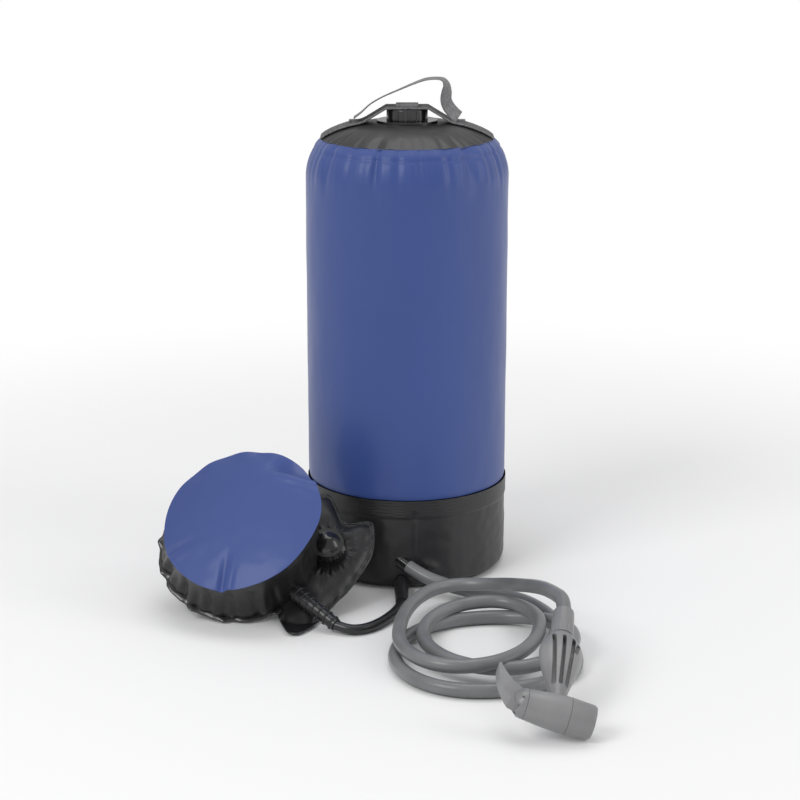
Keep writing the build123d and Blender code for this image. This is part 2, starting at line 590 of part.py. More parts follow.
# Handset frame: the head's lowest rim rests on the floor
roll = math.radians(HANDSET_ROLL)
HEAD_AXIS = Vector(1, 0, 0).rotate(Axis.Y, HANDSET_ROLL).rotate(Axis.Z, -HANDSET_YAW)
HANDSET_NORMAL = Vector(0, 0, 1).rotate(Axis.X, HANDSET_LEAN).rotate(Axis.Y, HANDSET_ROLL).rotate(Axis.Z, -HANDSET_YAW)
HANDSET_Z = HEAD_FRONT_X * math.sin(roll) + HEAD_FRONT_R * math.cos(roll)
HANDSET = Plane(origin=(*HANDSET_XY, HANDSET_Z), x_dir=HEAD_AXIS, z_dir=HANDSET_NORMAL)
ALONG_HEAD = Plane(origin=(0, 0, 0), x_dir=(0, 0, -1), z_dir=(1, 0, 0))
ALONG_GRIP = Plane(origin=(0, 0, 0), x_dir=(1, 0, 0), z_dir=(0, 1, 0))


def head_radius(x):
    """Radius of the head's barrel at a place along it."""
    share = (x - REAR_SEAM_X) / (FRONT_SEAM_X - REAR_SEAM_X)
    return HEAD_REAR_R + (HEAD_MAX_R - HEAD_REAR_R) * math.sin(share * math.pi / 2)


def head_turned(points):
    """A solid of revolution about the head's axis from (x, radius) corners."""
    return ALONG_HEAD.location * turned_polygon([(radius, x) for x, radius in points])


barrel_steps = [REAR_SEAM_X + (FRONT_SEAM_X - REAR_SEAM_X) * step / 6 for step in range(7)]
barrel_line = Spline(*[(head_radius(x), 0, x) for x in barrel_steps])
barrel = ALONG_HEAD.location * turned(
    barrel_line,
    Line((HEAD_MAX_R, 0, FRONT_SEAM_X), (0, 0, FRONT_SEAM_X)),
    Line((0, 0, FRONT_SEAM_X), (0, 0, REAR_SEAM_X)),
    Line((0, 0, REAR_SEAM_X), (HEAD_REAR_R, 0, REAR_SEAM_X)),
)


def grip_section(y, half, thick):
    """An oval section of the handle."""
    plane = Plane(origin=(0, y, 0), x_dir=(1, 0, 0), z_dir=(0, 1, 0))
    return plane * Ellipse(half, thick / 2)


grip = loft([
    grip_section(0, GRIP_ROOT_HALF, GRIP_ROOT_THICK),
    grip_section((GRIP_START_Y + GRIP_WIDE_Y) / 2, (GRIP_ROOT_HALF + GRIP_WIDE_HALF) / 2 + 0.8, (GRIP_ROOT_THICK + GRIP_END_THICK) / 2),
    grip_section(GRIP_WIDE_Y, GRIP_WIDE_HALF, GRIP_END_THICK),
    grip_section(GRIP_END_Y, GRIP_END_HALF, GRIP_END_THICK * 0.85),
])


def grip_slot(middle_x, fan, low_y, high_y):
    """A lengthwise slot in the handle's broad face, leaning with the fan of the handle."""
    length = high_y - low_y
    lean_angle = math.degrees(math.atan2(fan, length))
    outline = Pos(middle_x, (low_y + high_y) / 2) * Rot(0, 0, 90 - lean_angle) * SlotOverall(length, SLOT_WIDTH)
    return extrude(Pos(0, 0, GRIP_END_THICK / 2 - SLOT_DEPTH) * outline, GRIP_END_THICK)


slots = []
for index in range(SLOT_COUNT):
    place = index - (SLOT_COUNT - 1) / 2
    slots.append(grip_slot(place * SLOT_FAN, place * SLOT_FAN * 0.5, SLOT_LOW_Y, SLOT_HIGH_Y))
slots.append(grip_slot(2 * SLOT_FAN - SLOT_WIDTH / 2, SLOT_FAN * 0.5, SLOT_HIGH_Y - SIDE_HOLE_LENGTH, SLOT_HIGH_Y - SLOT_WIDTH))
for slot in slots:
    grip -= slot
    grip -= mirror(slot, Plane.XY)
grip += rod((0, GRIP_END_Y - 4, 0), (0, SPIGOT_TAIL_END_Y, 0), SPIGOT_TAIL_R)

body = barrel + grip
body -= head_turned([
    (CHAMBER_BACK_X, 0), (CHAMBER_BACK_X, CHAMBER_R), (FRONT_SEAM_X + 1, CHAMBER_R), (FRONT_SEAM_X + 1, 0),
])
body -= head_turned([
    (REAR_SEAM_X - 1, 0), (REAR_SEAM_X - 1, PLUNGER_ROD_R + RUNNING), (CHAMBER_BACK_X + 1, PLUNGER_ROD_R + RUNNING),
    (CHAMBER_BACK_X + 1, 0),
])
pocket_high_y = 2 * HEAD_REAR_R
body -= Pos(REAR_SEAM_X, (LEVER_POCKET_LOW_Y + pocket_high_y) / 2, 0) * Box(
    2 * LEVER_POCKET_DEPTH, pocket_high_y - LEVER_POCKET_LOW_Y, LEVER_WIDTH + 2 * CLEAR)
parts["handset_body"] = HANDSET.location * body

# Spray collar with its inner web, and the spray plate
collar_back = FRONT_SEAM_X + SEAM_GAP
plate_front = HEAD_FRONT_X - PLATE_RECESS
plate_back = plate_front - PLATE_THICK
spray_collar = head_turned([
    (collar_back, 0), (collar_back, HEAD_MAX_R), (HEAD_FRONT_X - FRONT_EDGE_R, HEAD_FRONT_R), (HEAD_FRONT_X, HEAD_FRONT_R - FRONT_EDGE_R / 2),
    (HEAD_FRONT_X, PLATE_R + FIT), (plate_back, PLATE_R + FIT), (plate_back, PLATE_R - 1.5),
    (collar_back + WEB_THICK, PLATE_R - 1.5), (collar_back + WEB_THICK, 0),
])


def holes_along_head(count, ring_r, hole_r, low_x, high_x):
    """Round holes on a ring about the head's axis."""
    holes = []
    for index in range(count):
        angle = 2 * math.pi * index / count
        centre_y = ring_r * math.cos(angle)
        centre_z = ring_r * math.sin(angle)
        holes.append(rod((low_x, centre_y, centre_z), (high_x, centre_y, centre_z), hole_r))
    return holes


for hole in holes_along_head(WEB_HOLES, WEB_HOLE_RING_R, WEB_HOLE_R, collar_back - 1, collar_back + WEB_THICK + 1):
    spray_collar -= hole
parts["spray_collar"] = HANDSET.location * spray_collar
spray_plate = head_turned([(plate_back, 0), (plate_back, PLATE_R), (plate_front, PLATE_R), (plate_front, 0)])
for count, ring_r in PLATE_RINGS:
    for hole in holes_along_head(count, ring_r, PLATE_HOLE_R, plate_back - 1, plate_front + 1):
        spray_plate -= hole
parts["spray_plate"] = HANDSET.location * spray_plate

# Rear cap, thumb lever and pin
cap_back = REAR_SEAM_X - SEAM_GAP
rear_line = ThreePointArc(
    (HEAD_REAR_R, 0, cap_back), (HEAD_REAR_R * 0.8, 0, cap_back - (cap_back - HEAD_REAR_X) * 0.62), (0, 0, HEAD_REAR_X))
rear_cap = ALONG_HEAD.location * turned(
    rear_line, Line((0, 0, HEAD_REAR_X), (0, 0, cap_back)), Line((0, 0, cap_back), (HEAD_REAR_R, 0, cap_back)),
)
slot_half = LEVER_WIDTH / 2 + CLEAR
slot_low = LEVER_PIVOT[1] - LEVER_HUB_R - 1.0
slot_block = Pos((HEAD_REAR_X + cap_back) / 2, (slot_low + 2 * HEAD_REAR_R) / 2, 0) * Box(
    2 * (cap_back - HEAD_REAR_X), 2 * HEAD_REAR_R - slot_low, 2 * slot_half)
rear_cap -= slot_block
pin_hole = rod((*LEVER_PIVOT, -HEAD_REAR_R), (*LEVER_PIVOT, HEAD_REAR_R), LEVER_PIN_R)
rear_cap -= pin_hole
parts["rear_cap"] = HANDSET.location * rear_cap

lever_nose_x = cap_back - CLEAR
LEVER_SHOULDER = (-33.5, 14.8)
LEVER_TIP_FRONT = (-51.2, 38.0)
LEVER_TIP_BACK = (-52.8, 37.2)
LEVER_HEEL = (-40.6, -4.0)
lever_nose_low = (lever_nose_x, LEVER_PIVOT[1] + 1)
lever_nose_high = (lever_nose_x, LEVER_SHOULDER[1] - 6)
lever_foot = (lever_nose_x - 2, LEVER_PIVOT[1] - LEVER_HUB_R)
lever_outline = make_face(Wire([
    Line(lever_nose_low, lever_nose_high),
    Line(lever_nose_high, LEVER_SHOULDER),
    Spline(LEVER_SHOULDER, (-38.2, 18.5), (-44.1, 25.5), LEVER_TIP_FRONT),
    Line(LEVER_TIP_FRONT, LEVER_TIP_BACK),
    Spline(LEVER_TIP_BACK, (-50.4, 18.0), (-45.6, 5.0), LEVER_HEEL),
    Line(LEVER_HEEL, lever_foot),
    Line(lever_foot, lever_nose_low),
]))
lever = extrude(lever_outline, LEVER_WIDTH / 2, both=True)
lever -= rod((*LEVER_PIVOT, -LEVER_WIDTH), (*LEVER_PIVOT, LEVER_WIDTH), LEVER_PIN_R + RUNNING)
parts["thumb_lever"] = HANDSET.location * lever
pin_half = math.sqrt(HEAD_REAR_R ** 2 - LEVER_PIVOT[1] ** 2) - LEVER_PIN_R
parts["lever_pin"] = HANDSET.location * rod((*LEVER_PIVOT, -pin_half), (*LEVER_PIVOT, pin_half), LEVER_PIN_R)

# Valve: plunger, seal and spring
seal_front = SEAL_X + SEAL_THICK
head_back = seal_front + CLEAR
plunger = head_turned([
    (lever_nose_x + CLEAR, 0), (lever_nose_x + CLEAR, PLUNGER_ROD_R), (head_back, PLUNGER_ROD_R), (head_back, PLUNGER_HEAD_R),
    (head_back + PLUNGER_HEAD_THICK, PLUNGER_HEAD_R), (head_back + PLUNGER_HEAD_THICK, 0),
])
parts["valve_plunger"] = HANDSET.location * plunger
parts["valve_seal"] = HANDSET.location * head_turned([
    (SEAL_X, PLUNGER_ROD_R + CLEAR), (SEAL_X, CHAMBER_R - FIT), (seal_front, CHAMBER_R - FIT), (seal_front, PLUNGER_ROD_R + CLEAR),
])
spring_back = head_back + PLUNGER_HEAD_THICK + PLUNGER_TRAVEL + SPRING_WIRE_R + FIT
spring_length = collar_back - SPRING_WIRE_R - RUNNING - spring_back
coil_path = Helix(pitch=spring_length / SPRING_TURNS, height=spring_length, radius=SPRING_R)
wire_start = Plane(origin=coil_path @ 0, z_dir=coil_path % 0)
wire = sweep(wire_start * Circle(SPRING_WIRE_R), path=coil_path, is_frenet=True)
parts["valve_spring"] = HANDSET.location * ALONG_HEAD.location * Pos(0, 0, spring_back) * wire

# Hose nut and the hose that enters it
nut_low = GRIP_END_Y + CLEAR
hose_nut = rod((0, nut_low, 0), (0, NUT_END_Y, 0), NUT_START_R, NUT_END_R)
hose_nut -= rod((0, nut_low - 1, 0), (0, SPIGOT_TAIL_END_Y + CLEAR, 0), SPIGOT_TAIL_R + FIT)
for index in range(NUT_FLUTES):
    angle = 2 * math.pi * index / NUT_FLUTES
    reach = NUT_START_R + NUT_FLUTE_R * 0.5
    flute_x = reach * math.cos(angle)
    flute_z = reach * math.sin(angle)
    hose_nut -= rod((flute_x, nut_low + 3, flute_z), (flute_x, NUT_END_Y - 8, flute_z), NUT_FLUTE_R)
parts["hose_nut"] = HANDSET.location * hose_nut
nut_face = HANDSET.from_local_coords((0, NUT_END_Y, 0))
nut_out = HANDSET.from_local_coords((0, NUT_END_Y + LEAD_STRAIGHT, 0))
lead_points = LEAD_ROUTE + [tuple(nut_out), tuple(nut_face)]
print("nut face", nut_face, "nut out", nut_out)
parts["shower_hose_lead"] = hose("shower_hose_lead", lead_points, HOSE_D)

print("frames", "handset", HANDSET.origin, "pump", PUMP.origin, "handle axis", HANDLE_AXIS_Z, "cap", CAP_LOW, CAP_HIGH)
os.makedirs("parts", exist_ok=True)
for name, part in parts.items():
    export_step(part, "parts/" + name + ".step")
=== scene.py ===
import json
import math

import bpy
from mathutils import Matrix, Vector, noise


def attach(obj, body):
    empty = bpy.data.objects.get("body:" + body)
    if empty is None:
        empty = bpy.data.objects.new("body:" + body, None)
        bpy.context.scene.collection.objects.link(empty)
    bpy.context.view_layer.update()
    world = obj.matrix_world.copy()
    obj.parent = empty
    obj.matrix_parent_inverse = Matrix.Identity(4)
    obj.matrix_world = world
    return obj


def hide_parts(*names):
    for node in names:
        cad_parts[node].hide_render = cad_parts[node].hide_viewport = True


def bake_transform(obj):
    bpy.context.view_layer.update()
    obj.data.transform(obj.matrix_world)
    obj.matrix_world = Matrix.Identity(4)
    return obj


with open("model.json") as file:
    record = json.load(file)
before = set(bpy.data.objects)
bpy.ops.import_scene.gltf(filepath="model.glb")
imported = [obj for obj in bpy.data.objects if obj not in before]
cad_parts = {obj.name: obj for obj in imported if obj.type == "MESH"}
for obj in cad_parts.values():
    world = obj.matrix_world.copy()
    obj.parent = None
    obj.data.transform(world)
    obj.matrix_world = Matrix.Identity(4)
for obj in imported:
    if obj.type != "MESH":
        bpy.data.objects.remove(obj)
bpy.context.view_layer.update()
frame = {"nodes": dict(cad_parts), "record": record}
MM = 0.001

# Camera at the photograph's place, for a picture of 800 x 800
IMAGE = 800
FOCAL_PIXELS = 2070.0
SENSOR = 36.0
CAMERA_AT = (-0.007, -2.030, 0.720)
CAMERA_PITCH = 15.22

camera_data = bpy.data.cameras.new("camera")
camera_data.sensor_width = SENSOR
camera_data.lens = FOCAL_PIXELS / IMAGE * SENSOR
camera = bpy.data.objects.new("camera", camera_data)
bpy.context.collection.objects.link(camera)
camera.location = CAMERA_AT
camera.rotation_euler = (math.radians(90 - CAMERA_PITCH), 0, 0)
bpy.context.scene.camera = camera

# Hoses: the route points, in metres
HOSE_D = 13.0
PUMP_HOSE_D = 9.5
OUTLET = (1.5, -101.4, 25.0)
TAIL_ROUTE = [(14.0, -111.4, 19.3), (37.4, -120.5, 12.8), (64.0, -127.5, 8.0)]
# Ends of the coil's quarter turns: back, right, front and left in turn
COIL_ENDS = [(88.0, -131.5, 6.5), (153.0, -297.0, 6.5), (60.0, -368.0, 6.5), (-13.0, -287.0, 6.5),
             (80.0, -190.0, 6.5), (152.0, -272.0, 19.5), (84.0, -334.0, 13.0), (13.0, -250.0, 13.0),
             (78.0, -182.0, 19.5), (123.0, -238.0, 19.5), (46.0, -345.0, 19.5), (-9.0, -270.0, 19.5),
             (50.0, -136.5, 19.5)]
QUARTER_STEPS = 4
LEAD_ROUTE = [(78.0, -146.0, 22.5), (96.0, -168.0, 31.0), (107.0, -200.0, 42.0), (116.0, -232.0, 53.0),
              (124.0, -262.0, 62.0), (131.0, -286.0, 66.5), (139.15, -305.56, 66.79),
              (136.83, -324.57, 61.01)]
CURVE_STEPS = 10
CURVE_ROUNDNESS = 7
PUMP_HOSE_ROUTE = [(-67.0, -214.0, 7.4), (-57.5, -219.5, 5.6), (-46.0, -219.5, 4.9), (-34.5, -212.5, 4.9),
                   (-24.5, -199.5, 4.9), (-16.0, -184.0, 4.9), (-9.5, -169.0, 5.3), (-5.0, -154.0, 6.4)]


def smooth_step(share):
    return share * share * (3 - 2 * share)


def coil_points():
    """The coil's turns as quarter ellipses between the ends, rising smoothly."""
    points = [COIL_ENDS[0]]
    for index in range(len(COIL_ENDS) - 1):
        start = Vector(COIL_ENDS[index])
        end = Vector(COIL_ENDS[index + 1])
        for step in range(1, QUARTER_STEPS + 1):
            share = step / QUARTER_STEPS
            angle = share * math.pi / 2
            rise = start.z + (end.z - start.z) * smooth_step(share)
            if index % 2 == 0:
                x = start.x + (end.x - start.x) * math.sin(angle)
                y = end.y + (start.y - end.y) * math.cos(angle)
            else:
                x = end.x + (start.x - end.x) * math.cos(angle)
                y = start.y + (end.y - start.y) * math.sin(angle)
            points.append((x, y, rise))
    return points


def cord(name, route, diameter):
    """A smooth round hose on one spline with the route as its control points."""
    curve = bpy.data.curves.new(name, "CURVE")
    curve.dimensions = "3D"
    spline = curve.splines.new("NURBS")
    spline.points.add(len(route) - 1)
    for point, place in zip(spline.points, route):
        point.co = (place[0] * MM, place[1] * MM, place[2] * MM, 1)
    spline.order_u = 3
    spline.use_endpoint_u = True
    spline.resolution_u = CURVE_STEPS
    curve.bevel_depth = diameter * MM / 2
    curve.bevel_resolution = CURVE_ROUNDNESS
    curve.use_fill_caps = True
    piece = bpy.data.objects.new(name, curve)
    bpy.context.collection.objects.link(piece)
    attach(piece, "root")
    return piece


shower_route = [OUTLET] + TAIL_ROUTE + coil_points() + LEAD_ROUTE
shower_hose = cord("shower_hose", shower_route, HOSE_D)
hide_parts("shower_hose_tail", "shower_hose_coil", "shower_hose_lead")
pump_hose = cord("pump_hose_line", PUMP_HOSE_ROUTE, PUMP_HOSE_D)
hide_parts("pump_hose")


# Materials
COAT_ROUGHNESS = 0.15
TONE_LOW = 0.35
TONE_HIGH = 0.65


def material(name, colour, roughness, coat=0.0, sheen=0.0, specular=0.5):
    """A principled material and its nodes."""
    made = bpy.data.materials.new(name)
    made.use_nodes = True
    shader = made.node_tree.nodes["Principled BSDF"]
    shader.inputs["Base Color"].default_value = (*colour, 1)
    shader.inputs["Roughness"].default_value = roughness
    shader.inputs["Coat Weight"].default_value = coat
    shader.inputs["Coat Roughness"].default_value = COAT_ROUGHNESS
    shader.inputs["Sheen Weight"].default_value = sheen
    shader.inputs["Specular IOR Level"].default_value = specular
    return made


def node(made, kind, **settings):
    """A new node with some of its inputs set."""
    new = made.node_tree.nodes.new(kind)
    for key, value in settings.items():
        if hasattr(new, key):
            setattr(new, key, value)
        else:
            new.inputs[key.replace("_", " ")].default_value = value
    return new


def join(made, source, output, target, entry):
    made.node_tree.links.new(source.outputs[output], target.inputs[entry])


def vary(made, colour_low, colour_high, scale, detail=4.0, stretch=(1, 1, 1)):
    """Colour that drifts between two tones over the surface."""
    place = node(made, "ShaderNodeTexCoord")
    mapping = node(made, "ShaderNodeMapping")
    mapping.inputs["Scale"].default_value = stretch
    join(made, place, "Object", mapping, "Vector")
    texture = node(made, "ShaderNodeTexNoise", Scale=scale, Detail=detail)
    join(made, mapping, "Vector", texture, "Vector")
    ramp = node(made, "ShaderNodeValToRGB")
    ramp.color_ramp.elements[0].position = TONE_LOW
    ramp.color_ramp.elements[1].position = TONE_HIGH
    ramp.color_ramp.elements[0].color = (*colour_low, 1)
    ramp.color_ramp.elements[1].color = (*colour_high, 1)
    join(made, texture, "Fac", ramp, "Fac")
    join(made, ramp, "Color", made.node_tree.nodes["Principled BSDF"], "Base Color")


def rough(made, low, high, scale):
    """Roughness that changes in soft patches."""
    place = node(made, "ShaderNodeTexCoord")
    texture = node(made, "ShaderNodeTexNoise", Scale=scale, Detail=3.0)
    join(made, place, "Object", texture, "Vector")
    span = node(made, "ShaderNodeMapRange")
    span.inputs["To Min"].default_value = low
    span.inputs["To Max"].default_value = high
    join(made, texture, "Fac", span, "Value")
    join(made, span, "Result", made.node_tree.nodes["Principled BSDF"], "Roughness")


def bumps(made, layers):
    """Stacked bump textures: each is (kind, scale, strength, distance, stretch)."""
    normal = None
    for kind, scale, strength, distance, stretch in layers:
        place = node(made, "ShaderNodeTexCoord")
        mapping = node(made, "ShaderNodeMapping")
        mapping.inputs["Scale"].default_value = stretch
        join(made, place, "Object", mapping, "Vector")
        if kind == "noise":
            texture = node(made, "ShaderNodeTexNoise", Scale=scale, Detail=5.0)
        else:
            texture = node(made, "ShaderNodeTexWave", Scale=scale)
            texture.bands_direction = "DIAGONAL"
        join(made, mapping, "Vector", texture, "Vector")
        bump = node(made, "ShaderNodeBump", Strength=strength, Distance=distance)
        join(made, texture, "Fac", bump, "Height")
        if normal is not None:
            join(made, normal, "Normal", bump, "Normal")
        normal = bump
    join(made, normal, "Normal", made.node_tree.nodes["Principled BSDF"], "Normal")


BLUE_DARK = (0.020, 0.050, 0.215)
BLUE_LIGHT = (0.030, 0.070, 0.275)
BLACK_LOW = (0.008, 0.008, 0.009)
BLACK_HIGH = (0.017, 0.017, 0.019)


def make_blue_fabric():
    made = material("blue_coated_fabric", BLUE_LIGHT, 0.5, coat=0.12, sheen=0.15)
    vary(made, BLUE_DARK, BLUE_LIGHT, 3.0, stretch=(1, 1, 0.35))
    rough(made, 0.42, 0.6, 9.0)
    bumps(made, [
        ("noise", 14.0, 0.25, 0.004, (1, 1, 0.5)),
        ("wave", 700.0, 0.06, 0.0004, (1, 1, 1)),
        ("wave", 700.0, 0.06, 0.0004, (-1, 1, 1)),
        ("noise", 900.0, 0.06, 0.0003, (1, 1, 1)),
    ])
    return made


def make_black_pvc():
    made = material("black_pvc_film", BLACK_HIGH, 0.42, coat=0.1)
    vary(made, BLACK_LOW, BLACK_HIGH, 6.0)
    rough(made, 0.34, 0.5, 12.0)
    bumps(made, [
        ("noise", 26.0, 0.2, 0.003, (1, 1, 1)),
        ("noise", 1200.0, 0.08, 0.0003, (1, 1, 1)),
    ])
    return made


def make_webbing(name, low, high):
    made = material(name, high, 0.75, sheen=0.3)
    vary(made, low, high, 380.0, detail=1.0)
    bumps(made, [
        ("wave", 330.0, 0.5, 0.0008, (1, 1, 1)),
        ("wave", 330.0, 0.5, 0.0008, (-1, 1, 1)),
        ("noise", 700.0, 0.2, 0.0005, (1, 1, 1)),
    ])
    return made


def make_hose_grey():
    made = material("grey_vinyl", (0.19, 0.195, 0.20), 0.36, coat=0.15)
    vary(made, (0.15, 0.155, 0.16), (0.21, 0.215, 0.222), 18.0)
    rough(made, 0.3, 0.44, 40.0)
    bumps(made, [("noise", 60.0, 0.08, 0.001, (1, 1, 1)), ("noise", 1500.0, 0.06, 0.0002, (1, 1, 1))])
    return made


def make_hose_black():
    made = material("black_vinyl", BLACK_HIGH, 0.35, coat=0.15)
    vary(made, BLACK_LOW, BLACK_HIGH, 30.0)
    rough(made, 0.28, 0.42, 50.0)
    bumps(made, [("noise", 90.0, 0.08, 0.001, (1, 1, 1)), ("noise", 1500.0, 0.06, 0.0002, (1, 1, 1))])
    return made


def make_plastic(name, low, high, smooth, dull, coat):
    """A moulding or a metal: two tones, its smoothest and dullest roughness, and its coat."""
    made = material(name, high, smooth, coat=coat)
    vary(made, low, high, 25.0)
    rough(made, smooth, dull, 60.0)
    bumps(made, [("noise", 45.0, 0.04, 0.001, (1, 1, 1)), ("noise", 1800.0, 0.05, 0.0002, (1, 1, 1))])
    return made


def make_steel():
    made = make_plastic("steel_wire", (0.45, 0.45, 0.46), (0.55, 0.55, 0.56), 0.25, 0.4, 0.0)
    made.node_tree.nodes["Principled BSDF"].inputs["Metallic"].default_value = 1.0
    return made


GREY_THREAD = [(0.12, 0.12, 0.125), (0.22, 0.22, 0.23)]
BLACK_THREAD = [(0.008, 0.008, 0.009), (0.022, 0.022, 0.024)]
GREY_MOULDING = [(0.20, 0.20, 0.205), (0.25, 0.25, 0.255)]
BLACK_MOULDING = [(0.008, 0.008, 0.008), (0.014, 0.014, 0.015)]
RUBBER = [(0.02, 0.02, 0.02), (0.035, 0.035, 0.035)]
FOAM = [(0.25, 0.23, 0.18), (0.34, 0.32, 0.26)]
WELD = [(0.016, 0.016, 0.017), (0.035, 0.035, 0.037)]
MATERIALS = {
    "blue_fabric": make_blue_fabric(),
    "black_pvc": make_black_pvc(),
    "grey_webbing": make_webbing("grey_webbing_weave", *GREY_THREAD),
    "black_webbing": make_webbing("black_webbing_weave", *BLACK_THREAD),
    "grey_hose": make_hose_grey(),
    "black_hose": make_hose_black(),
    "grey_plastic": make_plastic("grey_moulding", *GREY_MOULDING, 0.32, 0.42, 0.1),
    "black_plastic": make_plastic("black_moulding", *BLACK_MOULDING, 0.14, 0.24, 0.4),
    "seal_rubber": make_plastic("seal_rubber_grain", *RUBBER, 0.6, 0.75, 0.0),
    "foam": make_plastic("foam_grain", *FOAM, 0.85, 0.95, 0.0),
    "steel": make_steel(),
    "welded_edge": make_plastic("welded_film_edge", *WELD, 0.2, 0.34, 0.3),
}


def dress(piece, slot_name):
    """Gives a piece its material and slot."""
    piece.data.materials.clear()
    piece.data.materials.append(MATERIALS[slot_name])


dress(shower_hose, "grey_hose")
dress(pump_hose, "black_hose")
SLOT_OF = {part["node"]: part["material_slot"] for part in frame["record"]["subparts"]}
for name, node_object in frame["nodes"].items():
    node_object.data.materials.clear()
    node_object.data.materials.append(MATERIALS[SLOT_OF[name]])


# Surfaces
def mesh_piece(name, points, faces, body, slot_name, smooth=True):
    """A mesh object from its points and faces, riding on a body if one is named."""
    mesh = bpy.data.meshes.new(name)
    mesh.from_pydata([tuple(p) for p in points], [], faces)
    mesh.update()
    piece = bpy.data.objects.new(name, mesh)
    bpy.context.collection.objects.link(piece)
    if smooth:
        for face in mesh.polygons:
            face.use_smooth = True
    if body is not None:
        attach(piece, body)
    dress(piece, slot_name)
    return piece


def wrapped_grid(rows, columns, place, closed=True):
    """Points and quads of a surface given by place(row share, column share)."""
    points = []
    for row in range(rows + 1):
        for column in range(columns if closed else columns + 1):
            points.append(place(row / rows, column / columns))
    width = columns if closed else columns + 1
    faces = []
    for row in range(rows):
        for column in range(columns):
            right = (column + 1) % width if closed else column + 1
            low = row * width
            high = (row + 1) * width
            faces.append((low + column, low + right, high + right, high + column))
    return points, faces


def bell(value, centre, width):
    """A smooth hump of height one."""
    return math.exp(-((value - centre) / width) ** 2)


def turn_from_front(angle):
    """Angle from the front of the tank, positive to the right, between minus and plus pi."""
    return math.atan2(math.sin(angle), math.cos(angle))


def drift(x, y, z, scale, seed):
    return noise.noise(Vector((x / scale + seed, y / scale - seed, z / scale + 2 * seed)))


# Tank
TANK_R = 100.0
SEAM_Z = 92.0
SHOULDER_Z = 398.0
RIM_R = 85.0
RIM_Z = 435.0
STITCH_Z = 425.0
# Creases: angle from the front, half width, depth. Gathers: count, depth, phase
SHOULDER_CREASES = [(-0.33, 0.035, 3.2), (0.66, 0.05, 4.0), (1.15, 0.05, 3.0), (-0.9, 0.04, 1.6),
                    (0.12, 0.03, 1.0), (1.9, 0.05, 3.0), (2.6, 0.05, 2.4), (-1.6, 0.05, 2.6),
                    (-2.3, 0.05, 2.8), (-2.9, 0.04, 2.0)]
GATHERS = [(23, 0.55, 0.4), (37, 0.35, 1.9), (61, 0.22, 4.4)]
SLEEVE_ROWS = 230
SLEEVE_COLUMNS = 420
SLEEVE_LOW = SEAM_Z + 0.2
SLEEVE_ROW_POWER = 0.85


def sleeve_radius(z):
    """Radius of the tank's sleeve at a height."""
    if z <= SHOULDER_Z:
        return TANK_R
    arc = ((TANK_R - RIM_R) ** 2 + (RIM_Z - SHOULDER_Z) ** 2) / (2 * (TANK_R - RIM_R))
    return TANK_R - arc + math.sqrt(arc ** 2 - (z - SHOULDER_Z) ** 2)


def sleeve_point(row, column):
    """A point of the blue sleeve, with its gathers, creases and soft dents."""
    angle = column * 2 * math.pi
    turn = turn_from_front(angle)
    z = SLEEVE_LOW + (RIM_Z - SLEEVE_LOW) * row ** SLEEVE_ROW_POWER
    radius = sleeve_radius(z)
    near_top = bell(z, STITCH_Z - 6, 22)
    for count, depth, phase in GATHERS:
        radius += depth * near_top * math.sin(count * angle + phase)
    for centre, width, depth in SHOULDER_CREASES:
        spread = width * (1 + max(0.0, STITCH_Z - z) / 60)
        radius -= depth * bell(turn, centre, spread) * bell(z, STITCH_Z - 8, 20)
    radius -= 0.7 * bell(z, STITCH_Z, 1.3)
    radius += 0.6 * bell(z, STITCH_Z + 4, 3)
    x = math.sin(angle)
    y = -math.cos(angle)
    side = math.sin(math.pi * min(1.0, max(0.0, (z - SEAM_Z) / (SHOULDER_Z - SEAM_Z))))
    radius += 0.9 * side * drift(100 * x, 100 * y, z * 0.4, 55, 3.1)
    radius += 0.35 * drift(100 * x, 100 * y, z * 0.5, 18, 7.7)
    radius -= 0.9 * bell(z, SEAM_Z, 3.0)
    return Vector((x * radius, y * radius, z)) * MM


points, faces = wrapped_grid(SLEEVE_ROWS, SLEEVE_COLUMNS, sleeve_point)
sleeve = mesh_piece("tank_sleeve_fabric", points, faces, "root", "blue_fabric")
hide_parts("tank_sleeve")

CUP_CORNER = 12.0
BAND_LOW = 74.0
CUP_SEAM_TURN = 0.075
CUP_BOTTOM_SHARE = 0.12
CUP_CORNER_SHARE = 0.3
CUP_ROWS = 150
CUP_COLUMNS = 400
BAND_THICK = 1.0
# The pleat beside the hose: its ridge and its hollow, as turn, half width and depth
PLEAT_TURN = 0.08
PLEAT_RIDGE = (0.22, 0.09, 3.0)
PLEAT_HOLLOW = (0.13, 0.07, 2.4)


